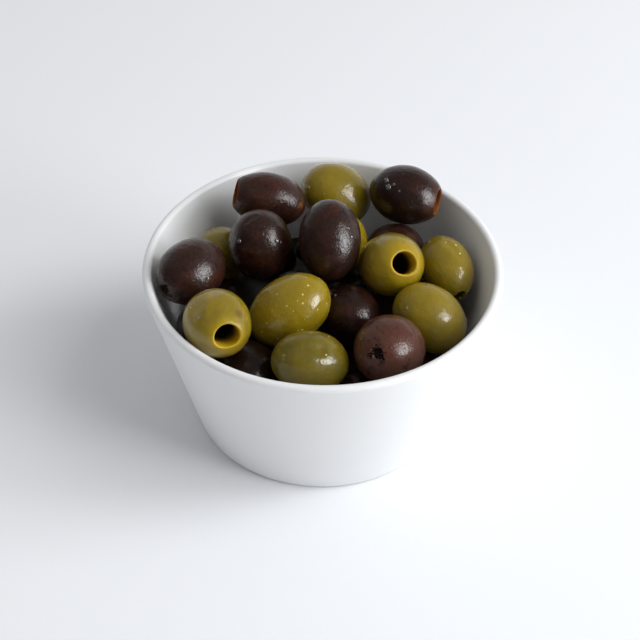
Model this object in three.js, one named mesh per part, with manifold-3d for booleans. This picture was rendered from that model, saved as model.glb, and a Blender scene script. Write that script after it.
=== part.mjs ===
// A plain white bowl heaped with pitted green and dark olives.
//
// Millimetres, +Z up. The origin is the middle of the foot, on the surface that the bowl
// stands on. The bowl is one turned solid. The olives are one solid: a smooth core under
// them, and every olive of the two upper layers joined onto it at its true size.

import * as THREE from 'three';
import { mergeVertices } from 'three/addons/utils/BufferGeometryUtils.js';
import Module from 'manifold-3d';

const wasm = await Module();
wasm.setup();

// ---------------------------------------------------------------- driving dimensions

const BOWL = {
  height: 56.5,
  rimRadius: 55,
  footRadius: 39.5,
  wall: 2.9,
  floor: 5,
  footEdge: 1.5,
  insideCorner: 12,
  sides: 72,
};

const CORE = {
  gap: 0.5, // clear of the bowl all round
  top: 35, // height in the middle
  shoulder: 31, // height where it meets the wall
  sides: 48,
};

const PIT_HOLE = { diameter: 7.6, endWall: 4 };

// How finely an olive is faceted: round its girth, and from end to end.
const UPPER_FACETS = { round: 16, along: 10 };
const LOWER_FACETS = { round: 12, along: 8 };

// Every olive is a spheroid. at: its middle. heading: where its long axis points, seen from
// above, in degrees from +X towards +Y. rise: how far that end points up. girth and length:
// its two diameters. A pitted olive shows the round hole, which is at the end it points to.

const UPPER_OLIVES = [
  { at: [-17.5, 30, 57.9], heading: 182, rise: 14, girth: 17.5, length: 24.5, pitted: true },
  { at: [-19.5, 12, 54.5], heading: 270, rise: 80, girth: 20, length: 24.5 },
  { at: [2, 7, 60.5], heading: 90, rise: 50, girth: 19.5, length: 25.5 },
  { at: [-40, -2.5, 55.5], heading: 230, rise: 0, girth: 19.5, length: 24 },
  { at: [26, 33, 58], heading: 340, rise: 0, girth: 19, length: 24, pitted: true },
  { at: [22.5, 23, 41.5], heading: 300, rise: 55, girth: 20, length: 24.5 },
  { at: [8, -6.5, 42], heading: 290, rise: 35, girth: 19.5, length: 24.5 },
  { at: [20, -28.5, 48], heading: 245, rise: 35, girth: 21.5, length: 24.5 },
  { at: [-22, -27, 36.5], heading: 275, rise: 25, girth: 19.5, length: 24.5 },
  { at: [-35, -11, 40], heading: 270, rise: 15, girth: 19.5, length: 24.5 },
  { at: [-31, -26.5, 56], heading: 290, rise: 20, girth: 20.5, length: 24.5, pitted: true },
  { at: [-10, -13, 49.5], heading: 5, rise: 40, girth: 20.5, length: 28.5 },
  { at: [-3.5, -32.5, 46.5], heading: 10, rise: -15, girth: 19, length: 24 },
  { at: [21, 4, 53.5], heading: 295, rise: 40, girth: 20, length: 25, pitted: true },
  { at: [38.5, 10.5, 47], heading: 290, rise: -15, girth: 16.5, length: 23 },
  { at: [32.5, -12, 46], heading: 340, rise: -35, girth: 20, length: 25 },
  { at: [4, 40, 52.5], heading: 0, rise: -30, girth: 19.5, length: 24 },
  { at: [4.5, 22, 47], heading: 285, rise: 60, girth: 19.5, length: 24.5 },
  { at: [-32, 21, 43], heading: 250, rise: 35, girth: 17.5, length: 22.5 },
];

// The layer below, which shows as dark backs between the olives above.
const LOWER_OLIVES = [
  { at: [-9, 12, 29.5], heading: 50, rise: 85, girth: 19.5, length: 24 },
  { at: [-3, -14, 28.5], heading: 220, rise: 60, girth: 19.5, length: 24 },
  { at: [18.5, -4, 27], heading: 20, rise: 50, girth: 19.5, length: 24 },
  { at: [10, 14, 29], heading: 250, rise: 65, girth: 19.5, length: 24 },
  { at: [11, -32, 30], heading: 270, rise: 60, girth: 19.5, length: 24 },
  { at: [-18, 29, 30], heading: 55, rise: 65, girth: 19.5, length: 24 },
  { at: [-32.5, 9.5, 29.5], heading: 225, rise: 40, girth: 19.5, length: 24 },
  { at: [32.5, 10, 30.5], heading: 295, rise: 35, girth: 19.5, length: 24 },
  { at: [-19, -4, 30], heading: 280, rise: 85, girth: 19.5, length: 24 },
  { at: [27.5, -20, 29.5], heading: 230, rise: 25, girth: 19.5, length: 24 },
  { at: [2, 34, 30], heading: 155, rise: 30, girth: 19.5, length: 24 },
  { at: [-8, -32, 27], heading: 295, rise: 55, girth: 19.5, length: 24 },
];

const MATERIALS = {
  glaze: new THREE.MeshStandardMaterial({ color: 0xf1f2f2, roughness: 0.25, metalness: 0 }),
  olives: new THREE.MeshStandardMaterial({ color: 0x8a8237, roughness: 0.35, metalness: 0 }),
};

// ---------------------------------------------------------------- turned outlines

const wallLean = Math.atan2(BOWL.rimRadius - BOWL.footRadius, BOWL.height - BOWL.wall / 2);

// Radius of the bowl's outer face at a height.
function outsideRadius(height) {
  return BOWL.footRadius + height * Math.tan(wallLean);
}

// Radius, at a height, of a cone that stands inside the bowl's inner face by a gap.
function insideRadius(height, gap = 0) {
  return outsideRadius(height) - (BOWL.wall + gap) / Math.cos(wallLean);
}

// Points along an arc in the radius-height plane, angles in radians from the +radius side.
function arc(centre, radius, from, to, steps) {
  const points = [];
  for (let i = 0; i <= steps; i += 1) {
    const angle = from + ((to - from) * i) / steps;
    points.push(new THREE.Vector2(
      centre.x + radius * Math.cos(angle),
      centre.y + radius * Math.sin(angle),
    ));
  }
  return points;
}

// The rounded corner between a flat floor and the leaning wall, from the wall to the floor.
function insideCornerArc(floorHeight, gap, steps) {
  const radius = BOWL.insideCorner - gap;
  const height = floorHeight + radius;
  const centre = new THREE.Vector2(insideRadius(height, gap) - radius / Math.cos(wallLean), height);
  return arc(centre, radius, -wallLean, -Math.PI / 2, steps);
}

// Turns an outline of radius and height about the vertical axis.
function turned(outline, sides) {
  return new THREE.LatheGeometry(outline, sides).rotateX(Math.PI / 2);
}

function bowlGeometry() {
  const edge = BOWL.footEdge;
  const lip = BOWL.wall / 2;
  const edgeCentre = new THREE.Vector2(outsideRadius(edge) - edge / Math.cos(wallLean), edge);
  const lipHeight = BOWL.height - lip;
  const lipCentre = new THREE.Vector2(outsideRadius(lipHeight) - lip / Math.cos(wallLean), lipHeight);
  return turned([
    new THREE.Vector2(0, 0),
    ...arc(edgeCentre, edge, -Math.PI / 2, -wallLean, 4),
    ...arc(lipCentre, lip, -wallLean, Math.PI - wallLean, 8),
    ...insideCornerArc(BOWL.floor, 0, 6),
    new THREE.Vector2(0, BOWL.floor),
  ], BOWL.sides);
}

// The core fills the bottom of the bowl, a small gap clear of it, up to a shallow dome.
function coreGeometry() {
  const bottom = BOWL.floor + CORE.gap;
  const edgeRadius = insideRadius(CORE.shoulder, CORE.gap);
  const dome = [];
  const domeSteps = 5;
  for (let i = 0; i < domeSteps; i += 1) {
    const share = i / domeSteps;
    const rise = (CORE.top - CORE.shoulder) * (1 - share * share);
    dome.push(new THREE.Vector2(edgeRadius * share, CORE.shoulder + rise));
  }
  return turned([
    new THREE.Vector2(0, bottom),
    ...insideCornerArc(bottom, CORE.gap, 4).reverse(),
    new THREE.Vector2(edgeRadius, CORE.shoulder),
    ...dome.reverse(),
  ], CORE.sides);
}

// ---------------------------------------------------------------- olives

// The turn that brings +Y onto an olive's long axis.
function axisTurn({ heading, rise }) {
  const turn = THREE.MathUtils.degToRad(heading);
  const lift = THREE.MathUtils.degToRad(rise);
  const axis = new THREE.Vector3(
    Math.cos(lift) * Math.cos(turn),
    Math.cos(lift) * Math.sin(turn),
    Math.sin(lift),
  );
  return new THREE.Quaternion().setFromUnitVectors(new THREE.Vector3(0, 1, 0), axis);
}

function spheroidGeometry({ girth, length }, facets) {
  return new THREE.SphereGeometry(1, facets.round, facets.along)
    .scale(girth / 2, length / 2, girth / 2);
}

// The bore left by the stone: open at the end the olive points to, blind at the other.
function pitHoleGeometry({ length }) {
  const radius = PIT_HOLE.diameter / 2;
  return new THREE.CylinderGeometry(radius, radius, length, 16)
    .translate(0, PIT_HOLE.endWall, 0);
}

function oliveSolid(olive, facets) {
  const pose = new THREE.Matrix4().compose(
    new THREE.Vector3(...olive.at),
    axisTurn(olive),
    new THREE.Vector3(1, 1, 1),
  );
  const flesh = toSolid(spheroidGeometry(olive, facets).applyMatrix4(pose));
  if (!olive.pitted) {
    return flesh;
  }
  return flesh.subtract(toSolid(pitHoleGeometry(olive).applyMatrix4(pose)));
}

// ---------------------------------------------------------------- joining

function toSolid(geometry) {
  geometry.deleteAttribute('normal');
  geometry.deleteAttribute('uv');
  const merged = mergeVertices(geometry, 1e-4);
  return new wasm.Manifold(new wasm.Mesh({
    numProp: 3,
    vertProperties: new Float32Array(merged.attributes.position.array),
    triVerts: withoutFlatTriangles(merged.index.array),
  }));
}

// Leaves out the triangles of no area that lie where a turned outline meets its axis.
function withoutFlatTriangles(index) {
  const kept = [];
  for (let i = 0; i < index.length; i += 3) {
    const [a, b, c] = index.slice(i, i + 3);
    if (a !== b && b !== c && c !== a) {
      kept.push(a, b, c);
    }
  }
  return new Uint32Array(kept);
}

function toGeometry(solid) {
  const mesh = solid.getMesh();
  const geometry = new THREE.BufferGeometry();
  geometry.setAttribute('position', new THREE.BufferAttribute(mesh.vertProperties, mesh.numProp));
  geometry.setIndex(new THREE.BufferAttribute(mesh.triVerts, 1));
  geometry.computeVertexNormals();
  return geometry;
}

// The largest of the shells that a join leaves, so that no sealed hollow stays inside it.
function outerShell(solid) {
  return solid.decompose().reduce((a, b) => (a.volume() > b.volume() ? a : b));
}

function heapGeometry() {
  let heap = toSolid(coreGeometry());
  for (const olive of LOWER_OLIVES) {
    heap = heap.add(oliveSolid(olive, LOWER_FACETS));
  }
  for (const olive of UPPER_OLIVES) {
    heap = heap.add(oliveSolid(olive, UPPER_FACETS));
  }
  return toGeometry(outerShell(heap));
}

// ---------------------------------------------------------------- the part

function namedMesh(name, geometry, material) {
  const mesh = new THREE.Mesh(geometry, material);
  mesh.name = name;
  return mesh;
}

const part = new THREE.Group();
part.add(namedMesh('bowl', bowlGeometry(), MATERIALS.glaze));
part.add(namedMesh('olives', heapGeometry(), MATERIALS.olives));

export default part;
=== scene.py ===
"""A white bowl heaped with pitted green and dark olives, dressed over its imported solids."""

import math

import bmesh
import bpy
from bpy.props import FloatProperty, FloatVectorProperty, PointerProperty
from bpy.types import Operator, Panel, PropertyGroup
from mathutils import Matrix, Quaternion, Vector, noise
from mathutils.bvhtree import BVHTree


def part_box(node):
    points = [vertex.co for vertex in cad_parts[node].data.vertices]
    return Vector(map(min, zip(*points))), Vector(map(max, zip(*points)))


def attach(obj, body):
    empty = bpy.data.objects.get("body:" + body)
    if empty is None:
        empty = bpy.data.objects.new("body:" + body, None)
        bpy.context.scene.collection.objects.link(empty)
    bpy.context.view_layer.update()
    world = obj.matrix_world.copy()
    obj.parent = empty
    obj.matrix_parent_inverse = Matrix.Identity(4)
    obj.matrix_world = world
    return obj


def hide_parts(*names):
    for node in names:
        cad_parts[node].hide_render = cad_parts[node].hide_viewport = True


bl_info = {
    "name": "Bowl of Olives",
    "version": (1, 0, 0),
    "blender": (4, 5, 0),
    "location": "3D View > Sidebar > Olives",
    "description": "A white bowl heaped with pitted green and dark olives, on a pale floor",
    "category": "Add Mesh",
}

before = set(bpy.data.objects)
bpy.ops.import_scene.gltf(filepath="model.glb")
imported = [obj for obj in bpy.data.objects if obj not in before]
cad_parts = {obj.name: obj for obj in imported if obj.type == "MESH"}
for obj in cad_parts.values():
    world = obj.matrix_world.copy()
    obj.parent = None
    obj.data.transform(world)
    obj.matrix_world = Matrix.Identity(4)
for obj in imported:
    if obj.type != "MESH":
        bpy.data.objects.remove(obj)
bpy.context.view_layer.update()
BOWL_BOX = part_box("bowl")

MM = 0.001

# ---------------------------------------------------------------- the olives

# Every olive is a spheroid. at: its middle, in millimetres. heading: where its long axis
# points, seen from above, in degrees from +X towards +Y. rise: how far that end points up.
# girth and length: its two diameters in millimetres.
# end: what the end it points to shows, a pit hole, a star cut or a stem scar.
# tone: 0 for the deepest skin of its kind, 1 for the palest.
# specks: how many pale dots the skin has, 0 to 1.
# dents: reach and depth in millimetres of each soft hollow, and the path it follows, as
# headings and rises seen from the olive's middle.
# bruises and bare: heading, rise and reach of each brown mark, and of each spot of flesh.
# On the sides of two green olives that face away from the light, the marks are painted shade.

DARK_OLIVES = [
    {"at": (-17.5, 30, 57.9), "heading": 182, "rise": 14, "girth": 17.5, "length": 24.5,
     "end": "hole", "blush": (1.5, 0.9), "tone": 0.3, "bare": [(341, 3, 1.8)],
     "dents": [(3, 0.25, [(217, 57), (260, 60)])]},
    {"at": (-19.5, 12, 54.5), "heading": 270, "rise": 80, "girth": 20, "length": 24.5,
     "tone": 0.22, "dents": [(1.6, 0.2, [(213, 66), (221, 81)]), (5, 0.2, [(300, 10)])]},
    {"at": (2, 7, 60.5), "heading": 90, "rise": 50, "girth": 19.5, "length": 25.5,
     "tone": 0.17, "dents": [(1.6, 0.16, [(22, 55), (4, 41), (344, 25)])]},
    {"at": (-40, -2.5, 55.5), "heading": 230, "rise": 0, "girth": 19.5, "length": 24,
     "end": "star", "tone": 0.25, "dents": [(4, 0.2, [(200, 40)])]},
    {"at": (26, 33, 58), "heading": 340, "rise": 0, "girth": 19, "length": 24,
     "end": "hole", "blush": (4, 0.3), "tone": 0.08,
     "dents": [(3, 0.2, [(262, 40), (285, 30)])]},
    {"at": (22.5, 23, 41.5), "heading": 300, "rise": 55, "girth": 20, "length": 24.5,
     "tone": 0.25},
    {"at": (8, -6.5, 42), "heading": 290, "rise": 35, "girth": 19.5, "length": 24.5,
     "tone": 0.12},
    {"at": (20, -28.5, 48), "heading": 245, "rise": 35, "girth": 21.5, "length": 24.5,
     "end": "star", "tone": 1.0,
     "dents": [(5, 0.25, [(300, 75)]), (4, 0.2, [(231, 64)]),
               (1.4, 0.24, [(26, 53), (8, 47), (359, 33), (347, 23)])]},
    {"at": (-22, -27, 36.5), "heading": 275, "rise": 25, "girth": 19.5, "length": 24.5,
     "tone": 0.0},
    {"at": (-35, -11, 40), "heading": 270, "rise": 15, "girth": 19.5, "length": 24.5,
     "tone": 0.05},
]

GREEN_OLIVES = [
    {"at": (-31, -26.5, 56), "heading": 290, "rise": 20, "girth": 20.5, "length": 24.5,
     "end": "hole", "blush": (3, 0.7), "tone": 0.75, "specks": 0.12,
     "bruises_and_shade": [(330, 43.6, 2.0)],
     "dents": [(6.5, 0.7, [(200, 50)]), (6, 0.6, [(322, 61)]),
               (2.5, 0.3, [(111, 74), (264, 59)])]},
    {"at": (-10, -13, 49.5), "heading": 5, "rise": 40, "girth": 20.5, "length": 28.5,
     "tone": 1.0, "specks": 0.8,
     "dents": [(1.6, 0.14, [(288, 24)]), (2.5, 0.22, [(331, 28), (352, 25)])]},
    {"at": (-3.5, -32.5, 46.5), "heading": 10, "rise": -15, "girth": 19, "length": 24,
     "tone": 0.15, "specks": 0.12,
     "dents": [(3.2, 0.8, [(205, 40), (226, 58), (279, 68), (316, 60)]),
               (3, 0.35, [(198, 30), (204, 5)])]},
    {"at": (21, 4, 53.5), "heading": 295, "rise": 40, "girth": 20, "length": 25,
     # The brown mark on its side away from the light is painted shade.
     "end": "hole", "blush": (6, 0.9), "tone": 0.7, "bruises_and_shade": [(195, 0, 10)]},
    {"at": (38.5, 10.5, 47), "heading": 290, "rise": -15, "girth": 16.5, "length": 23,
     "end": "scar", "tone": 0.6, "specks": 0.6,
     "dents": [(2.2, 0.3, [(103, 74), (344, 72), (325, 56)])]},
    {"at": (32.5, -12, 46), "heading": 340, "rise": -35, "girth": 20, "length": 25,
     # The brown mark on its side away from the light is painted shade.
     "tone": 0.55, "specks": 0.12, "bruises_and_shade": [(205, 5, 8)]},
    {"at": (4, 40, 52.5), "heading": 0, "rise": -30, "girth": 19.5, "length": 24,
     "tone": 0.6, "specks": 0.1},
    {"at": (4.5, 22, 47), "heading": 285, "rise": 60, "girth": 19.5, "length": 24.5,
     "tone": 0.9},
    {"at": (-32, 21, 43), "heading": 250, "rise": 35, "girth": 17.5, "length": 22.5,
     "tone": 0.4, "specks": 0.1},
]

# The dark olives of the layer below, all alike: middle, heading and rise.
LOWER_OLIVES = [
    ((-9, 12, 29.5), 50, 85),
    ((-3, -14, 28.5), 220, 60),
    ((18.5, -4, 27), 20, 50),
    ((10, 14, 29), 250, 65),
    ((11, -32, 30), 270, 60),
    ((-18, 29, 30), 55, 65),
    ((-32.5, 9.5, 29.5), 225, 40),
    ((32.5, 10, 30.5), 295, 35),
    ((-19, -4, 30), 280, 85),
    ((27.5, -20, 29.5), 230, 25),
    ((2, 34, 30), 155, 30),
    ((-8, -32, 27), 295, 55),
]
LOWER_SIZE = {"girth": 19.5, "length": 24, "tone": 0.04}

# How finely the olives of each layer are meshed.
UPPER_MESH = {"segments": 88, "rings": 60}
LOWER_MESH = {"segments": 48, "rings": 30}

# Pit holes, in millimetres: how far short of the far end they stop, and the depths between
# which painted shade darkens their flesh down the bore.
PIT_END_WALL = 4
PIT_SHADE = (2.5, 8)

# Star cuts and stem scars: radius of the open middle, number, reach and width of the arms,
# how deep they go, and how ragged they are, in millimetres.
CUTS = {
    "star": {"middle": 1.5, "arms": 5, "reach": 3.4, "width": 0.8, "depth": 1.1,
             "ragged": 1.3},
    "scar": {"middle": 1.7, "arms": 4, "reach": 3.0, "width": 0.8, "depth": 1.2,
             "ragged": 1.0},
}
# Waves a millimetre of the coarse and the fine raggedness of a cut, and how strong the fine
# one is beside the coarse one.
RAGGED_COARSE = 1.1
RAGGED_FINE = 2.6
RAGGED_FINE_SHARE = 0.5

# Soft lumps: the sizes of the broad and the fine ones, in millimetres.
BROAD_LUMP = 6.5
FINE_LUMP = 2.4

# Beads of brine. The middle of the olive that each clings to, the way out from there as
# heading and rise in degrees, and the bead's diameter in millimetres.
BRINE_BEADS = [
    ((26, 33, 58), 197, 47, 1.6),
    ((26, 33, 58), 216, 41, 1.9),
    ((26, 33, 58), 226, 51, 1.0),
    ((26, 33, 58), 248, 43, 0.8),
    ((-19.5, 12, 54.5), 309, 39, 1.5),
    ((-19.5, 12, 54.5), 317, 33, 0.8),
    ((-19.5, 12, 54.5), 226, 36, 1.3),
    ((-31, -26.5, 56), 229, 44, 1.3),
    ((-31, -26.5, 56), 223, 37, 0.7),
    ((-3.5, -32.5, 46.5), 209, 35, 1.1),
    ((-3.5, -32.5, 46.5), 213, 31, 0.7),
    ((-40, -2.5, 55.5), 317, 25, 0.9),
    ((-40, -2.5, 55.5), 308, 21, 1.2),
    ((2, 7, 60.5), 313, 48, 0.9),
    ((2, 7, 60.5), 324, 33, 1.1),
    ((2, 7, 60.5), 330, 49, 0.7),
    ((8, -6.5, 42), 197, 64, 1.0),
    ((8, -6.5, 42), 296, 38, 0.9),
    ((20, -28.5, 48), 200, 38, 0.8),
    ((38.5, 10.5, 47), 138, 41, 1.1),
    ((38.5, 10.5, 47), 160, 48, 0.7),
    ((32.5, -12, 46), 349, 7, 1.5),
    ((32.5, -12, 46), 208, 42, 1.1),
    ((4, 40, 52.5), 286, 39, 0.8),
    ((4, 40, 52.5), 205, 31, 1.1),
]
# How high a bead stands, as a share of half its width.
BEAD_HEIGHT = 0.75
# A distance from an olive's middle that is sure to be outside its skin, in metres.
OUTSIDE_OLIVE = 0.02

# ---------------------------------------------------------------- fixed colours

DARK_BLUSH = (0.080, 0.018, 0.008, 1)
DARK_PIT = (0.17, 0.048, 0.007, 1)
# The dark of star cuts and stem scars, and painted shade deep in the pit holes.
DARK_CUT_AND_PIT_SHADE = (0.009, 0.004, 0.003, 1)
GREEN_MOTTLE = (0.095, 0.080, 0.006, 1)
GREEN_SPECK = (0.70, 0.58, 0.20, 1)
# Brown bruises, and painted shade on the shaded sides of two green olives.
GREEN_BRUISE_AND_SHADE = (0.10, 0.045, 0.02, 1)
# Flesh inside a green olive's pit hole, painted brighter than the flesh as the glow of light
# shining through it.
GREEN_PIT_FLESH_AND_GLOW = (0.48, 0.31, 0.008, 1)
# The dark of star cuts and stem scars, and painted shade deep in the pit holes.
GREEN_CUT_AND_PIT_SHADE = (0.020, 0.010, 0.003, 1)
# Near black, as painted shade for the depths of the heap.
CORE_DEEP = (0.003, 0.0015, 0.001, 1)
CORE_PALE = (0.010, 0.004, 0.002, 1)
# Brine, a little milky as a painted highlight on the beads.
BRINE_WITH_PAINTED_HIGHLIGHT = (1, 0.98, 0.92, 1)
PALE_FLOOR = (0.845, 0.858, 0.884, 1)
DAYLIGHT = (0.97, 0.985, 1.0)

# ---------------------------------------------------------------- light and camera

# Each light's heading and rise in degrees, seen from the bowl, its distance, and the width
# and height of its rectangle, in metres.
LIGHTS = {
    "bright_pane": (-28, 18, 1.25, 0.42, 0.6),
    "side_window": (0, 30, 1.3, 0.5, 0.7),
    "skylight": (-24, 52, 1.3, 0.9, 0.7),
    "mirrored_window": (-26, 20, 1.3, 0.85, 1.2),
}
LIGHT_TARGET = Vector((0, 0, 0.045))

# Headings, in degrees, of the brightest wall of the room: of the one that lights the bowl,
# and of the one that wet skins mirror.
BRIGHT_WALL = 195
MIRRORED_WALL = 75

CAMERA_TARGET = Vector((-0.0007, 0, 0.034))
SENSOR_WIDTH = 36


# ---------------------------------------------------------------- settings

class BowlSettings(PropertyGroup):
    """Sizes and colour of the bowl."""

    height: FloatProperty(
        name="Height", description="From the foot to the top of the lip",
        default=BOWL_BOX[1].z, min=0.02, unit="LENGTH")
    rim_radius: FloatProperty(
        name="Rim radius",
        description="Outside radius of the leaning wall, carried up to the lip",
        default=0.05495, min=0.02, unit="LENGTH")
    foot_radius: FloatProperty(
        name="Foot radius", description="Outside radius of the leaning wall at the floor",
        default=0.0395, min=0.01, unit="LENGTH")
    wall: FloatProperty(
        name="Wall", description="Thickness of the wall", default=0.0029, min=0.001,
        unit="LENGTH")
    floor: FloatProperty(
        name="Floor", description="Thickness of the bottom", default=0.005, min=0.001,
        unit="LENGTH")
    inside_corner: FloatProperty(
        name="Inside corner", description="Radius between the bottom and the wall, inside",
        default=0.012, min=0.002, unit="LENGTH")
    glaze: FloatVectorProperty(
        name="Glaze", description="Colour of the glaze", subtype="COLOR", size=4,
        default=(0.80, 0.805, 0.81, 1), min=0, max=1)


class OliveSettings(PropertyGroup):
    """Sizes and colours of the olives."""

    hole: FloatProperty(
        name="Pit hole", description="Diameter of the hole that the stone left",
        default=0.0076, min=0.002, unit="LENGTH")
    hole_edge: FloatProperty(
        name="Edge of the hole", description="Radius of the rounded edge round the hole",
        default=0.0007, min=0.0001, unit="LENGTH")
    lump: FloatProperty(
        name="Lumps", description="How far the skin sinks below a true spheroid",
        default=0.00035, min=0, unit="LENGTH")
    green_deep: FloatVectorProperty(
        name="Deep green", description="Skin of the deepest green olives", subtype="COLOR",
        size=4, default=(0.120, 0.092, 0.005, 1), min=0, max=1)
    green_pale: FloatVectorProperty(
        name="Pale green", description="Skin of the palest green olives", subtype="COLOR",
        size=4, default=(0.290, 0.200, 0.006, 1), min=0, max=1)
    green_flesh: FloatVectorProperty(
        name="Green flesh", description="Flesh round the hole of a green olive",
        subtype="COLOR", size=4, default=(0.36, 0.245, 0.005, 1), min=0, max=1)
    dark_deep: FloatVectorProperty(
        name="Deep brown", description="Skin of the deepest dark olives", subtype="COLOR",
        size=4, default=(0.008, 0.003, 0.0022, 1), min=0, max=1)
    dark_pale: FloatVectorProperty(
        name="Pale brown", description="Skin of the palest dark olives", subtype="COLOR",
        size=4, default=(0.085, 0.031, 0.020, 1), min=0, max=1)
    dark_flesh: FloatVectorProperty(
        name="Dark flesh", description="Flesh round the hole of a dark olive",
        subtype="COLOR", size=4, default=(0.11, 0.036, 0.008, 1), min=0, max=1)


class StageSettings(PropertyGroup):
    """Floor, light and camera."""

    floor_size: FloatProperty(
        name="Floor", description="Side of the square floor", default=6.0, min=0.5,
        unit="LENGTH")
    pane_power: FloatProperty(
        name="Bright pane", description="Power of the brightest part of the window",
        default=6.0, min=0, unit="POWER")
    side_power: FloatProperty(
        name="Side window", description="Power of the window further round to the right",
        default=7.4, min=0, unit="POWER")
    sky_power: FloatProperty(
        name="Skylight", description="Power of the soft light from above, not mirrored",
        default=6.8, min=0, unit="POWER")
    mirrored_power: FloatProperty(
        name="Mirrored window", description="Power of the window as wet skins mirror it",
        default=20.0, min=0, unit="POWER")
    room: FloatProperty(
        name="Room", description="Brightness of the room that lights the bowl softly",
        default=0.6, min=0)
    mirrored_room: FloatProperty(
        name="Mirrored room", description="Brightness of the room as wet skins mirror it",
        default=0.65, min=0)
    camera_distance: FloatProperty(
        name="Camera distance", description="From the camera to the middle of the heap",
        default=0.6228, min=0.1, unit="LENGTH")
    camera_elevation: FloatProperty(
        name="Camera elevation", description="How steeply the camera looks down",
        default=math.radians(41.84), subtype="ANGLE")
    camera_roll: FloatProperty(
        name="Camera roll", description="Turn of the camera about its own view",
        default=math.radians(0.665), subtype="ANGLE")
    lens: FloatProperty(
        name="Lens", description="Focal length on a 36 mm sensor, in millimetres",
        default=112.5, min=10)


# ---------------------------------------------------------------- shader building

class Graph:
    """A node tree. remap, maths, blend and mix add a node and return its output socket."""

    def __init__(self, tree):
        self.tree = tree

    def add(self, kind, **settings):
        """A bare node, for what the calls below don't cover."""
        node = self.tree.nodes.new("ShaderNode" + kind)
        for name, value in settings.items():
            setattr(node, name, value)
        return node

    def plug(self, socket, value):
        """Feeds an input from another node's output, or sets it to a plain value."""
        if isinstance(value, bpy.types.NodeSocket):
            self.tree.links.new(value, socket)
        else:
            socket.default_value = value

    def remap(self, value, low, high, to_low=0.0, to_high=1.0):
        """A smooth step from one range to another."""
        node = self.add("MapRange", interpolation_type="SMOOTHSTEP")
        self.plug(node.inputs["Value"], value)
        self.plug(node.inputs["From Min"], low)
        self.plug(node.inputs["From Max"], high)
        self.plug(node.inputs["To Min"], to_low)
        self.plug(node.inputs["To Max"], to_high)
        return node.outputs["Result"]

    def maths(self, operation, a, b=0.5, clamp=False):
        """One sum of two numbers, or of the first alone where the operation takes one."""
        node = self.add("Math", operation=operation, use_clamp=clamp)
        self.plug(node.inputs[0], a)
        self.plug(node.inputs[1], b)
        return node.outputs[0]

    def blend(self, factor, a, b):
        """Between two numbers."""
        node = self.add("Mix", data_type="FLOAT")
        self.plug(node.inputs[0], factor)
        self.plug(node.inputs[2], a)
        self.plug(node.inputs[3], b)
        return node.outputs[0]

    def mix(self, factor, a, b):
        """Between two colours."""
        node = self.add("Mix", data_type="RGBA")
        self.plug(node.inputs[0], factor)
        self.plug(node.inputs[6], a)
        self.plug(node.inputs[7], b)
        return node.outputs[2]


class Finish(Graph):
    """One material: its nodes and its surface shader."""

    def __init__(self, name):
        self.material = bpy.data.materials.new(name)
        self.material.use_nodes = True
        super().__init__(self.material.node_tree)
        self.shader = self.tree.nodes["Principled BSDF"]

    def attribute(self, name, output="Fac"):
        return self.add("Attribute", attribute_name=name).outputs[output]

    def object_millimetres(self):
        node = self.add("VectorMath", operation="SCALE")
        self.plug(node.inputs["Vector"], self.add("TexCoord").outputs["Object"])
        node.inputs["Scale"].default_value = 1 / MM
        return node.outputs["Vector"]

    def noise(self, vector, size, detail=2.0, roughness=0.5, distortion=0.0):
        """Soft noise, from 0 to 1, with features of that size in millimetres."""
        node = self.add("TexNoise")
        self.plug(node.inputs["Vector"], vector)
        node.inputs["Scale"].default_value = 1 / size
        node.inputs["Detail"].default_value = detail
        node.inputs["Roughness"].default_value = roughness
        node.inputs["Distortion"].default_value = distortion
        return node.outputs["Fac"]

    def dots(self, vector, spacing, inner, outer, share):
        """Soft round dots in cells of that spacing, in a share of the cells."""
        node = self.add("TexVoronoi")
        self.plug(node.inputs["Vector"], vector)
        node.inputs["Scale"].default_value = 1 / spacing
        split = self.add("SeparateColor")
        self.plug(split.inputs["Color"], node.outputs["Color"])
        chosen = self.maths("LESS_THAN", split.outputs["Red"], share)
        smallest, largest = 0.6, 1.25
        size = self.remap(split.outputs["Green"], 0.0, 1.0, smallest, largest)
        distance = self.maths("DIVIDE", node.outputs["Distance"], size)
        dot = self.remap(distance, outer / spacing, inner / spacing)
        return self.maths("MULTIPLY", dot, chosen)

    def bump(self, height, distance, normal=None):
        """Relief of that many millimetres for a height of 1."""
        node = self.add("Bump")
        self.plug(node.inputs["Height"], height)
        node.inputs["Distance"].default_value = distance * MM
        node.inputs["Strength"].default_value = 1.0
        if normal is not None:
            self.plug(node.inputs["Normal"], normal)
        return node.outputs["Normal"]

    def set(self, values):
        """Sets inputs of the surface shader by name."""
        for name, value in values.items():
            self.plug(self.shader.inputs[name], value)
        return self.material


def glaze_finish(settings):
    """Smooth white glaze, with the faint unevenness of a dipped coat."""
    finish = Finish("white_glaze")
    place = finish.object_millimetres()
    waves = finish.noise(place, size=14, detail=1)
    thin_coat = tuple(channel * 0.985 for channel in settings.glaze[:3]) + (1,)
    tint = finish.mix(
        finish.noise(place, size=30, detail=2), tuple(settings.glaze), thin_coat)
    dullness = finish.noise(place, size=6, detail=3)
    return finish.set({
        "Base Color": tint,
        "Roughness": finish.remap(dullness, 0.3, 0.7, to_low=0.29, to_high=0.36),
        "Normal": finish.bump(waves, 0.05),
    })


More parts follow.
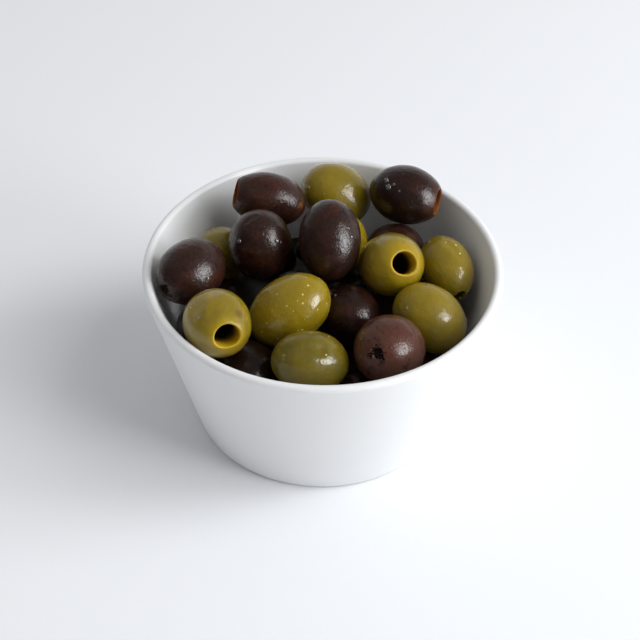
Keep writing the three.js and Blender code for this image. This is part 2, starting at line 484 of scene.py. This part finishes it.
def dark_olive_finish(settings):
    """Brown-black olive skin: mottled, finely rough, moist, red-brown where it is thin."""
    finish = Finish("dark_olive_skin")
    skin = finish.attribute("skin", "Vector")
    tone = finish.attribute("tone")
    flesh = finish.attribute("flesh")
    cut = finish.attribute("cut")

    patches = finish.noise(skin, size=7, detail=3, distortion=0.6)
    patches = finish.remap(patches, 0.42, 0.66)
    mottle = finish.remap(finish.noise(skin, size=1.2, detail=3), 0.35, 0.72)
    shade = finish.maths("MULTIPLY", tone, finish.remap(mottle, 0, 1, 0.85, 1.2))
    colour = finish.mix(shade, tuple(settings.dark_deep), tuple(settings.dark_pale))
    red = finish.maths("MULTIPLY", patches, finish.remap(mottle, 0, 1, 0.20, 0.42))
    red = finish.maths("MULTIPLY", red, finish.remap(tone, 0.0, 0.15, 0.1, 1.0))
    colour = finish.mix(red, colour, DARK_BLUSH)
    stain = finish.remap(finish.noise(skin, size=2.6, detail=3), 0.56, 0.70, 0.0, 0.6)
    colour = finish.mix(stain, colour, tuple(settings.dark_deep))
    colour = finish.mix(flesh, colour, tuple(settings.dark_flesh))
    colour = finish.mix(finish.remap(flesh, 0.95, 1.0), colour, DARK_PIT)
    # The dark of star cuts and stem scars, and painted shade deep in the pit holes.
    colour = finish.mix(cut, colour, DARK_CUT_AND_PIT_SHADE)

    ripple = finish.noise(skin, size=2.0, detail=2, distortion=0.4)
    grain = finish.noise(skin, size=0.6, detail=3)
    pores = finish.dots(skin, spacing=1.5, inner=0.12, outer=0.35, share=0.35)
    normal = finish.bump(ripple, 0.17)
    normal = finish.bump(finish.maths("SUBTRACT", 1.0, pores), 0.08, normal)
    normal = finish.bump(grain, 0.11, normal)
    torn = finish.maths("MAXIMUM", flesh, cut)
    whole_skin = finish.remap(grain, 0.3, 0.7, to_low=0.32, to_high=0.44)
    torn_skin = finish.maths("MULTIPLY", torn, 0.7)
    return finish.set({
        "Base Color": colour,
        "Roughness": finish.maths("MAXIMUM", whole_skin, torn_skin),
        "IOR": 1.25,
        "Normal": normal,
        "Subsurface Weight": 0.05,
        "Subsurface Radius": (1.0, 0.3, 0.15),
        "Subsurface Scale": 0.002,
        "Coat Weight": finish.remap(torn, 0.0, 0.8, 0.8, 0.05),
        "Coat Roughness": 0.16,
        "Coat IOR": 1.4,
        "Coat Normal": normal,
    })


def green_olive_finish(settings):
    """Yellow-green olive skin: smooth, wet, a little see-through, with pale dots."""
    finish = Finish("green_olive_skin")
    skin = finish.attribute("skin", "Vector")
    tone = finish.attribute("tone")
    flesh = finish.attribute("flesh")
    cut = finish.attribute("cut")
    bruise_and_shade = finish.attribute("bruise_and_shade")
    speckle = finish.attribute("speckle")

    clouds = finish.noise(skin, size=9, detail=3, distortion=0.5)
    clouds = finish.remap(clouds, 0.3, 0.7, to_low=-0.14, to_high=0.14)
    shade = finish.maths("ADD", tone, clouds, clamp=True)
    colour = finish.mix(shade, tuple(settings.green_deep), tuple(settings.green_pale))
    mottle = finish.remap(finish.noise(skin, size=1.3, detail=3), 0.5, 0.8, 0.0, 0.22)
    colour = finish.mix(mottle, colour, GREEN_MOTTLE)
    specks = finish.dots(skin, spacing=2.2, inner=0.16, outer=0.34, share=speckle)
    colour = finish.mix(specks, colour, GREEN_SPECK)
    # Brown bruises, and painted shade where two olives turn away from the light.
    colour = finish.mix(finish.maths("MULTIPLY", bruise_and_shade, 0.6), colour, GREEN_BRUISE_AND_SHADE)
    colour = finish.mix(flesh, colour, tuple(settings.green_flesh))
    # Inside the pit hole: flesh colour with a painted glow of light shining through the
    # flesh.
    colour = finish.mix(finish.remap(flesh, 0.95, 1.0), colour, GREEN_PIT_FLESH_AND_GLOW)
    # The dark of star cuts and stem scars, and painted shade deep in the pit holes.
    colour = finish.mix(cut, colour, GREEN_CUT_AND_PIT_SHADE)

    grain = finish.noise(skin, size=0.8, detail=2)
    normal = finish.bump(finish.noise(skin, size=3.2, detail=2), 0.18)
    normal = finish.bump(grain, 0.050, normal)
    normal = finish.bump(specks, 0.04, normal)
    torn = finish.maths("MAXIMUM", flesh, cut)
    whole_skin = finish.remap(grain, 0.3, 0.7, to_low=0.34, to_high=0.44)
    torn_skin = finish.maths("MULTIPLY", torn, 0.6)
    return finish.set({
        "Base Color": colour,
        "Roughness": finish.maths("MAXIMUM", whole_skin, torn_skin),
        "IOR": 1.37,
        "Normal": normal,
        "Subsurface Weight": 0.35,
        "Subsurface Radius": (1.0, 0.6, 0.08),
        "Subsurface Scale": 0.003,
        "Coat Weight": finish.remap(torn, 0.2, 1.0, 1.0, 0.1),
        "Coat Roughness": 0.11,
        "Coat IOR": 1.4,
        "Coat Normal": normal,
    })


def core_finish():
    """The mass that fills the bottom of the bowl under the olives, near black as painted
    shade.
    """
    finish = Finish("dark_core")
    place = finish.object_millimetres()
    colour = finish.mix(finish.noise(place, size=5, detail=3), CORE_DEEP, CORE_PALE)
    return finish.set({
        "Base Color": colour,
        "Roughness": 0.4,
        "Normal": finish.bump(finish.noise(place, size=2.5, detail=2), 0.2),
    })


def brine_finish():
    """Brine with a faint yellow tinge, slightly milky as a painted highlight that makes the
    beads show pale.
    """
    return Finish("brine_with_painted_highlight").set({
        "Base Color": BRINE_WITH_PAINTED_HIGHLIGHT,
        "Roughness": 0.02,
        "IOR": 1.48,
        "Transmission Weight": 0.92,
    })


# ---------------------------------------------------------------- mesh building

def new_piece(name, bm, material, smooth=True):
    """A mesh object at the origin, with its place in its mesh, from a bmesh in metres."""
    mesh = bpy.data.meshes.new(name)
    bm.to_mesh(mesh)
    bm.free()
    mesh.materials.append(material)
    if smooth:
        mesh.shade_smooth()
    piece = bpy.data.objects.new(name, mesh)
    bpy.context.scene.collection.objects.link(piece)
    return piece


def settle(piece, *nodes, slot=None):
    """Lets a piece ride on the one body, and hides the solids it stands for."""
    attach(piece, "root")
    if nodes:
        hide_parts(*nodes)
    return piece


def arc(centre, radius, start, end, steps):
    """Points (r, z) along an arc, angles in radians from the outward side."""
    points = []
    for i in range(steps + 1):
        angle = start + (end - start) * i / steps
        points.append((
            centre[0] + radius * math.cos(angle),
            centre[1] + radius * math.sin(angle),
        ))
    return points


def turned(outline, sides):
    """A closed bmesh, turned from points (r, z) that start and end on the axis."""
    bm = bmesh.new()
    verts = [bm.verts.new((r, 0, z)) for r, z in outline]
    edges = [bm.edges.new(pair) for pair in zip(verts, verts[1:])]
    bmesh.ops.spin(
        bm, geom=verts + edges, cent=(0, 0, 0), axis=(0, 0, 1), angle=math.tau,
        steps=sides, use_merge=True)
    bmesh.ops.remove_doubles(bm, verts=bm.verts, dist=1e-7)
    bmesh.ops.recalc_face_normals(bm, faces=bm.faces)
    return bm


def wall_lean(bowl):
    """How far the wall leans outwards, in radians from upright."""
    return math.atan2(bowl.rim_radius - bowl.foot_radius, bowl.height - bowl.wall / 2)


def outside_radius(bowl, height):
    """Radius of the wall's outer face at a height."""
    return bowl.foot_radius + height * math.tan(wall_lean(bowl))


def inside_radius(bowl, height, gap=0.0):
    """Radius, at a height, of a cone that stands inside the wall's inner face by a gap."""
    return outside_radius(bowl, height) - (bowl.wall + gap) / math.cos(wall_lean(bowl))


def inside_corner(bowl, floor_height, gap, steps):
    """The rounded corner from the leaning wall down to the bottom."""
    lean = wall_lean(bowl)
    radius = bowl.inside_corner - gap
    height = floor_height + radius
    centre = (inside_radius(bowl, height, gap) - radius / math.cos(lean), height)
    return arc(centre, radius, -lean, -math.pi / 2, steps)


def bowl_mesh(bowl, sides=144, foot_edge=0.0015):
    """The bowl as one turned skin, from the middle of the foot round the lip and back."""
    lean = wall_lean(bowl)
    lip = bowl.wall / 2
    lip_height = bowl.height - lip
    foot_centre = (outside_radius(bowl, foot_edge) - foot_edge / math.cos(lean), foot_edge)
    lip_centre = (outside_radius(bowl, lip_height) - lip / math.cos(lean), lip_height)
    outline = [(0, 0)]
    outline += arc(foot_centre, foot_edge, -math.pi / 2, -lean, steps=6)
    outline += arc(lip_centre, lip, -lean, math.pi - lean, steps=16)
    outline += inside_corner(bowl, bowl.floor, gap=0, steps=12)
    outline += [(0, bowl.floor)]
    return turned(outline, sides)


def core_mesh(bowl, sides=96, gap=0.0005, top=0.035, shoulder=0.031):
    """The mass under the olives, a gap clear of the bowl, with a shallow domed top."""
    bottom = bowl.floor + gap
    edge = inside_radius(bowl, shoulder, gap)
    dome_steps = 12
    outline = [(0, bottom)]
    outline += inside_corner(bowl, bottom, gap, steps=8)[::-1]
    for i in range(dome_steps, -1, -1):
        share = i / dome_steps
        outline.append((edge * share, shoulder + (top - shoulder) * (1 - share * share)))
    return turned(outline, sides)


def direction(heading, rise):
    """The unit vector that points that way, from degrees."""
    turn = math.radians(heading)
    lift = math.radians(rise)
    level = math.cos(lift)
    return Vector((level * math.cos(turn), level * math.sin(turn), math.sin(lift)))


def smooth_step(value, low, high):
    """From 0 at low to 1 at high, with soft ends."""
    share = min(1.0, max(0.0, (value - low) / (high - low)))
    return share * share * (3 - 2 * share)


def path_distance(point, path):
    """How far a point is from a path of one point or more."""
    nearest = (point - path[0]).length
    for start, end in zip(path, path[1:]):
        along = end - start
        share = min(1.0, max(0.0, (point - start).dot(along) / along.length_squared))
        nearest = min(nearest, (point - start - along * share).length)
    return nearest


def open_hole(bm, olive, hole_radius, lip):
    """Cuts off the end at +Z, rolls the skin over a lip and carries it down the bore.

    Returns how high the cut lies.
    """
    mouth = hole_radius + lip
    girth, length = olive["girth"] / 2, olive["length"] / 2
    cut_height = length * math.sqrt(1 - (mouth / girth) ** 2)
    bmesh.ops.bisect_plane(
        bm, geom=bm.verts[:] + bm.edges[:] + bm.faces[:], dist=1e-5,
        plane_co=(0, 0, cut_height), plane_no=(0, 0, 1), clear_outer=True)
    slope = math.atan2(mouth / girth ** 2, cut_height / length ** 2)
    start = math.pi / 2 - slope
    lip_centre = (mouth - lip * math.cos(start), cut_height - lip * math.sin(start))
    rings = arc(lip_centre, lip, start, math.pi, steps=6)[1:]
    bore_radius, bore_top = rings[-1]
    bore_end = -length + PIT_END_WALL + bore_radius
    bore_steps = 10
    for i in range(1, bore_steps + 1):
        rings.append((bore_radius, bore_top + (bore_end - bore_top) * i / bore_steps))
    # The round end stops short of the axis, and one flat face closes it.
    nearly_down = -math.pi / 2 * 0.9
    rings += arc((0, bore_end), bore_radius, 0, nearly_down, steps=6)[1:]
    edges = [e for e in bm.edges if e.is_boundary]
    last_radius, last_height = mouth, cut_height
    for radius, height in rings:
        made = bmesh.ops.extrude_edge_only(bm, edges=edges)["geom"]
        verts = [g for g in made if isinstance(g, bmesh.types.BMVert)]
        factor = radius / last_radius
        bmesh.ops.scale(bm, vec=(factor, factor, 1), verts=verts)
        bmesh.ops.translate(bm, vec=(0, 0, height - last_height), verts=verts)
        edges = [e for e in bm.edges if e.is_boundary]
        last_radius, last_height = radius, height
    bmesh.ops.holes_fill(bm, edges=edges)
    bmesh.ops.recalc_face_normals(bm, faces=bm.faces)
    return cut_height


def wobble_hole(bm, mouth, seed, amount=0.05, reach=2.5):
    """Makes a hole, and the skin within that reach of it, slightly out of round."""
    for v in bm.verts:
        radius = math.hypot(v.co.x, v.co.y)
        near = 1 - smooth_step(radius, mouth, mouth + reach)
        if v.co.z > -mouth and near > 0:
            angle = math.atan2(v.co.y, v.co.x)
            wave = math.sin(2 * angle + seed) + 0.5 * math.sin(3 * angle + 2 * seed)
            factor = 1 + amount * near * wave
            v.co.x *= factor
            v.co.y *= factor


def gather_rings(bm, strength=1.35):
    """Slides the rings of a sphere of diameter 1 towards its +Z end, for finer cuts."""
    for v in bm.verts:
        polar = math.acos(max(-1.0, min(1.0, v.co.z * 2)))
        moved = math.pi * (polar / math.pi) ** strength
        ring_radius = math.hypot(v.co.x, v.co.y)
        if ring_radius > 1e-9:
            factor = 0.5 * math.sin(moved) / ring_radius
            v.co.x *= factor
            v.co.y *= factor
        v.co.z = 0.5 * math.cos(moved)


def raggedness(place):
    """Coarse and fine noise, about -1 to 1, the same each run."""
    fine = RAGGED_FINE_SHARE * noise.noise(place * RAGGED_FINE)
    return noise.noise(place * RAGGED_COARSE) + fine


def cut_share(point, cut, seed):
    """How deep a ragged star cut is at a point near the +Z end, from 0 to 1."""
    here = Vector((point.x, point.y, seed))
    # Noise from far enough off that x and y wander each in its own way.
    elsewhere = here + Vector((0, 0, 9.7))
    x = point.x + cut["ragged"] * raggedness(here)
    y = point.y + cut["ragged"] * raggedness(elsewhere)
    radius = math.hypot(x, y)
    angle = math.atan2(y, x)
    deepest = 1 - smooth_step(radius, cut["middle"] * 0.7, cut["middle"] * 1.3)
    arm_depth = 0.9
    for i in range(cut["arms"]):
        # Each arm is turned and shortened a little by its own wave, and narrows outwards.
        turn = math.tau * (i + 0.3 * math.sin(seed + 2.1 * i)) / cut["arms"] + seed
        reach = cut["reach"] * (0.78 + 0.22 * math.sin(seed * 3 + i * 1.7))
        width = cut["width"] * (1.15 - radius / reach)
        aside = abs(radius * math.sin(angle - turn))
        if math.cos(angle - turn) > 0 and radius < reach:
            share = arm_depth * (1 - smooth_step(aside, 0.3 * width, width))
            deepest = max(deepest, share)
    return deepest


def mark_hole(bm, olive, layers, hole_radius, lip, mouth_height):
    """Marks the blushed skin round a pit hole, and paints shade on the flesh down its bore.
    """
    reach, strength = olive["blush"]
    skin_starts = hole_radius + 0.4 * lip
    bore_ends = hole_radius + 0.5 * lip
    far_end = -0.45 * olive["length"]
    for v in bm.verts:
        radius = math.hypot(v.co.x, v.co.y)
        if v.co.z > 0:
            blush = 1 - smooth_step(radius, skin_starts, hole_radius + reach)
            v[layers["flesh"]] = strength * blush
        if radius < bore_ends and v.co.z > far_end:
            v[layers["flesh"]] = 1
            # Painted shade: the deeper the flesh lies down the bore, the darker it is.
            v[layers["cut"]] = smooth_step(mouth_height - v.co.z, *PIT_SHADE)


def shape_end(bm, olive, layers, hole_radius, lip):
    """Cuts the pit hole, star cut or stem scar, and marks its flesh."""
    end = olive.get("end")
    seed = olive["at"][0] * 0.37
    if end == "hole":
        mouth_height = open_hole(bm, olive, hole_radius, lip)
        mark_hole(bm, olive, layers, hole_radius, lip, mouth_height)
        wobble_hole(bm, hole_radius + lip, seed)
    elif end in CUTS:
        cut = CUTS[end]
        farthest = cut["reach"] * 1.5
        for v in bm.verts:
            if v.co.z > 0 and math.hypot(v.co.x, v.co.y) < farthest:
                share = cut_share(v.co, cut, seed)
                v[layers["cut"]] = share
                v.co.z -= cut["depth"] * share


def spheroid_point(olive, way):
    """Where a ray from the olive's middle meets its true spheroid, axis on +Z."""
    girth, length = olive["girth"] / 2, olive["length"] / 2
    scale = math.sqrt((way.x ** 2 + way.y ** 2) / girth ** 2 + way.z ** 2 / length ** 2)
    return way / scale


def press_dents(bm, olive, turn):
    """Sinks soft hollows and folds into the skin, where the olive has been squeezed."""
    for reach, depth, ways in olive.get("dents", ()):
        path = [spheroid_point(olive, turn.inverted() @ direction(*way)) for way in ways]
        for v in bm.verts:
            sink = depth * (1 - smooth_step(path_distance(v.co, path), 0, reach))
            v.co -= v.co.normalized() * sink


def mark_spots(bm, olive, turn, spots, layer):
    """Marks soft round spots on one layer of the mesh."""
    for heading, rise, reach in spots:
        spot = spheroid_point(olive, turn.inverted() @ direction(heading, rise))
        for v in bm.verts:
            mark = 1 - smooth_step((v.co - spot).length, 0.3 * reach, reach)
            v[layer] = max(v[layer], mark)


def roughen(bm, lump, seed):
    """Sinks the skin by soft lumps of two sizes, never above the true spheroid."""
    bm.normal_update()
    shift = Vector((seed, -seed, 2 * seed))
    for v in bm.verts:
        broad = noise.noise((v.co + shift) / BROAD_LUMP)
        fine = noise.noise((v.co - shift) / FINE_LUMP)
        v.co -= v.normal * lump * (0.55 + 0.42 * broad + 0.12 * fine)


def olive_mesh(olive, segments, rings, settings):
    """One olive in metres, in its place, with what its finish reads on each vertex."""
    bm = bmesh.new()
    bmesh.ops.create_uvsphere(bm, u_segments=segments, v_segments=rings, radius=0.5)
    layers = {
        name: bm.verts.layers.float.new(name)
        for name in ("flesh", "cut", "bruise_and_shade", "tone", "speckle")
    }
    skin = bm.verts.layers.float_vector.new("skin")
    if olive.get("end") in CUTS:
        gather_rings(bm)
    size = (olive["girth"], olive["girth"], olive["length"])
    bmesh.ops.scale(bm, vec=size, verts=bm.verts)
    turn = Vector((0, 0, 1)).rotation_difference(direction(olive["heading"], olive["rise"]))
    # A number of its own for each olive, so that no two have the same lumps and mottling.
    seed = olive["at"][0] * 1.7 + olive["at"][1] * 0.9
    shape_end(bm, olive, layers, settings.hole / 2 / MM, settings.hole_edge / MM)
    press_dents(bm, olive, turn)
    roughen(bm, settings.lump / MM, seed)
    mark_spots(bm, olive, turn, olive.get("bruises_and_shade", ()), layers["bruise_and_shade"])
    mark_spots(bm, olive, turn, olive.get("bare", ()), layers["flesh"])
    for v in bm.verts:
        v[layers["tone"]] = olive["tone"]
        v[layers["speckle"]] = olive.get("specks", 0.0)
        v[skin] = v.co + Vector((seed, seed * 0.6, -seed))
    place = Matrix.LocRotScale(Vector(olive["at"]) * MM, turn, Vector((MM, MM, MM)))
    bmesh.ops.transform(bm, matrix=place, verts=bm.verts)
    return bm


def olive_meshes(olives, settings):
    """The olives of the upper layer that a table lists, each a bmesh of its own."""
    return [olive_mesh(olive, **UPPER_MESH, settings=settings) for olive in olives]


def join_parts(parts):
    """Gathers separate bmeshes into one."""
    whole = bmesh.new()
    for bm in parts:
        mesh = bpy.data.meshes.new("joining")
        bm.to_mesh(mesh)
        bm.free()
        whole.from_mesh(mesh)
        bpy.data.meshes.remove(mesh)
    return whole


def skin_tree(name):
    """What a ray is cast at to find the skins of a finished piece."""
    if name not in bpy.data.objects:
        raise RuntimeError("make the olives before the beads of brine")
    bm = bmesh.new()
    bm.from_mesh(bpy.data.objects[name].data)
    tree = BVHTree.FromBMesh(bm)
    bm.free()
    return tree


def bead_mesh(skin, centre, heading, rise, diameter):
    """A low bead of brine on the skin, where a ray from the olive's middle leaves it."""
    way = direction(heading, rise)
    start = Vector(centre) * MM + way * OUTSIDE_OLIVE
    hit, normal, _, _ = skin.ray_cast(start, -way)
    if hit is None:
        raise RuntimeError("a bead of brine found no olive under it")
    bm = bmesh.new()
    bmesh.ops.create_icosphere(bm, subdivisions=3, radius=diameter * MM / 2)
    bmesh.ops.scale(bm, vec=(1, 1, BEAD_HEIGHT), verts=bm.verts)
    turn = Vector((0, 0, 1)).rotation_difference(normal)
    place = Matrix.LocRotScale(hit, turn, Vector((1, 1, 1)))
    bmesh.ops.transform(bm, matrix=place, verts=bm.verts)
    return bm


# ---------------------------------------------------------------- operators

class OLIVES_OT_bowl(Operator):
    """Turn the white bowl"""

    bl_idname = "olives.bowl"
    bl_label = "Bowl"

    def execute(self, context):
        settings = context.scene.olive_bowl
        piece = new_piece("bowl_glazed", bowl_mesh(settings), glaze_finish(settings))
        settle(piece, "bowl", slot="glaze")
        return {"FINISHED"}


class OLIVES_OT_core(Operator):
    """Fill the bottom of the bowl under the olives"""

    bl_idname = "olives.core"
    bl_label = "Core"

    def execute(self, context):
        piece = new_piece("olive_core", core_mesh(context.scene.olive_bowl), core_finish())
        settle(piece, "olives", slot="olives")
        return {"FINISHED"}


class OLIVES_OT_dark(Operator):
    """Make the dark olives of both layers"""

    bl_idname = "olives.dark"
    bl_label = "Dark olives"

    def execute(self, context):
        settings = context.scene.olives
        parts = olive_meshes(DARK_OLIVES, settings)
        for at, heading, rise in LOWER_OLIVES:
            olive = dict(LOWER_SIZE, at=at, heading=heading, rise=rise)
            parts.append(olive_mesh(olive, **LOWER_MESH, settings=settings))
        piece = new_piece("olives_dark", join_parts(parts), dark_olive_finish(settings))
        settle(piece, "olives", slot="olives")
        return {"FINISHED"}


class OLIVES_OT_green(Operator):
    """Make the green olives"""

    bl_idname = "olives.green"
    bl_label = "Green olives"

    def execute(self, context):
        settings = context.scene.olives
        parts = olive_meshes(GREEN_OLIVES, settings)
        piece = new_piece("olives_green", join_parts(parts), green_olive_finish(settings))
        settle(piece, "olives", slot="olives")
        return {"FINISHED"}


class OLIVES_OT_brine(Operator):
    """Set beads of brine on the olives"""

    bl_idname = "olives.brine"
    bl_label = "Beads of brine"

    def execute(self, context):
        dark_skin = skin_tree("olives_dark")
        green_skin = skin_tree("olives_green")
        greens = [olive["at"] for olive in GREEN_OLIVES]
        parts = []
        for centre, heading, rise, diameter in BRINE_BEADS:
            skin = green_skin if centre in greens else dark_skin
            parts.append(bead_mesh(skin, centre, heading, rise, diameter))
        settle(new_piece("brine_beads", join_parts(parts), brine_finish()))
        return {"FINISHED"}


class OLIVES_OT_stage(Operator):
    """Lay the pale floor, and set the light and the camera"""

    bl_idname = "olives.stage"
    bl_label = "Stage"

    def execute(self, context):
        settings = context.scene.olive_stage
        make_floor(settings)
        make_world(settings)
        make_lights(settings)
        make_camera(settings)
        return {"FINISHED"}


# ---------------------------------------------------------------- stage

def make_floor(settings):
    """A plain pale floor that the bowl stands on."""
    bm = bmesh.new()
    bmesh.ops.create_grid(bm, x_segments=1, y_segments=1, size=settings.floor_size / 2)
    material = Finish("pale_floor").set({
        "Base Color": PALE_FLOOR,
        "Roughness": 0.85,
        "Specular IOR Level": 0.2,
    })
    floor = new_piece("floor", bm, material, smooth=False)


def make_world(settings):
    """A pale room that lights the bowl softly, and the dimmer one that wet skins mirror."""
    world = bpy.data.worlds.new("soft_room")
    bpy.context.scene.world = world
    world.use_nodes = True
    graph = Graph(world.node_tree)
    split = graph.add("SeparateXYZ")
    graph.plug(split.inputs[0], graph.add("TexCoord").outputs["Generated"])
    x, y, z = split.outputs
    level_squared = graph.maths("SUBTRACT", 1.0, graph.maths("MULTIPLY", z, z))
    level = graph.maths("MAXIMUM", graph.maths("SQRT", level_squared), 0.001)

    def facing(heading):
        """1 straight towards that heading, and -1 straight away from it."""
        east = graph.maths("MULTIPLY", x, math.cos(math.radians(heading)))
        north = graph.maths("MULTIPLY", y, math.sin(math.radians(heading)))
        return graph.maths("DIVIDE", graph.maths("ADD", east, north), level)

    room = settings.room
    wall = graph.remap(facing(BRIGHT_WALL), 0.4, 1.0, 0.5 * room, 1.1 * room)
    ceiling = graph.remap(y, -0.6, 0.05, 0.1 * room, room)
    soft = graph.blend(graph.remap(z, 0.42, 0.7), wall, ceiling)
    mirrored = settings.mirrored_room
    wall = graph.remap(facing(MIRRORED_WALL), -0.25, 0.85, 0.05 * mirrored, mirrored)
    dim = graph.blend(graph.remap(z, 0.1, 0.9), wall, 0.3 * mirrored)
    background = world.node_tree.nodes["Background"]
    background.inputs["Color"].default_value = (1, 1, 1, 1)
    glossy = graph.add("LightPath").outputs["Is Glossy Ray"]
    graph.plug(background.inputs["Strength"], graph.blend(glossy, soft, dim))


def area_light(name, power):
    """A rectangle of soft daylight that faces the bowl."""
    heading, rise, distance, width, height = LIGHTS[name]
    way = direction(heading, rise)
    data = bpy.data.lights.new(name, "AREA")
    data.shape = "RECTANGLE"
    data.size = width
    data.size_y = height
    data.energy = power
    data.color = DAYLIGHT
    light = bpy.data.objects.new(name, data)
    light.location = LIGHT_TARGET + way * distance
    light.rotation_euler = (-way).to_track_quat("-Z", "Y").to_euler()
    light.visible_camera = False
    bpy.context.scene.collection.objects.link(light)
    return light


def make_lights(settings):
    """The lights that light the bowl, and the window that only wet skins mirror."""
    area_light("bright_pane", settings.pane_power)
    side = area_light("side_window", settings.side_power)
    sky = area_light("skylight", settings.sky_power)
    for light in (side, sky):
        light.visible_glossy = False
    mirrored = area_light("mirrored_window", settings.mirrored_power)
    mirrored.visible_diffuse = False


def make_camera(settings):
    """The camera, looking down at the front of the bowl."""
    data = bpy.data.cameras.new("camera")
    data.sensor_width = SENSOR_WIDTH
    data.lens = settings.lens
    data.clip_start = 0.01
    camera = bpy.data.objects.new("camera", data)
    elevation = settings.camera_elevation
    back = Vector((0, -math.cos(elevation), math.sin(elevation)))
    camera.location = CAMERA_TARGET + back * settings.camera_distance
    look = (-back).to_track_quat("-Z", "Y")
    roll = Quaternion((0, 0, 1), settings.camera_roll)
    camera.rotation_euler = (look @ roll).to_euler()
    bpy.context.scene.collection.objects.link(camera)
    bpy.context.scene.camera = camera
    bpy.context.scene.view_settings.view_transform = "Standard"


# ---------------------------------------------------------------- add-on

class OLIVES_PT_sidebar(Panel):
    """Settings and buttons for the bowl of olives"""

    bl_label = "Bowl of Olives"
    bl_space_type = "VIEW_3D"
    bl_region_type = "UI"
    bl_category = "Olives"

    def draw(self, context):
        scene = context.scene
        for settings, operators in (
            (scene.olive_bowl, (OLIVES_OT_bowl, OLIVES_OT_core)),
            (scene.olives, (OLIVES_OT_dark, OLIVES_OT_green, OLIVES_OT_brine)),
            (scene.olive_stage, (OLIVES_OT_stage,)),
        ):
            box = self.layout.box()
            for name in settings.__annotations__:
                box.prop(settings, name)
            for operator in operators:
                box.operator(operator.bl_idname)


CLASSES = (
    BowlSettings,
    OliveSettings,
    StageSettings,
    OLIVES_OT_bowl,
    OLIVES_OT_core,
    OLIVES_OT_dark,
    OLIVES_OT_green,
    OLIVES_OT_brine,
    OLIVES_OT_stage,
    OLIVES_PT_sidebar,
)


def register():
    """Registers the settings, operators and panel, and gives the scene its settings."""
    for cls in CLASSES:
        bpy.utils.register_class(cls)
    bpy.types.Scene.olive_bowl = PointerProperty(type=BowlSettings)
    bpy.types.Scene.olives = PointerProperty(type=OliveSettings)
    bpy.types.Scene.olive_stage = PointerProperty(type=StageSettings)


def unregister():
    """Takes back what register does, in the opposite order."""
    del bpy.types.Scene.olive_stage
    del bpy.types.Scene.olives
    del bpy.types.Scene.olive_bowl
    for cls in reversed(CLASSES):
        bpy.utils.unregister_class(cls)


def main():
    """Makes every piece and the stage."""
    register()
    bpy.ops.olives.bowl()
    bpy.ops.olives.core()
    bpy.ops.olives.dark()
    bpy.ops.olives.green()
    bpy.ops.olives.brine()
    bpy.ops.olives.stage()


if __name__ == "__main__":
    main()
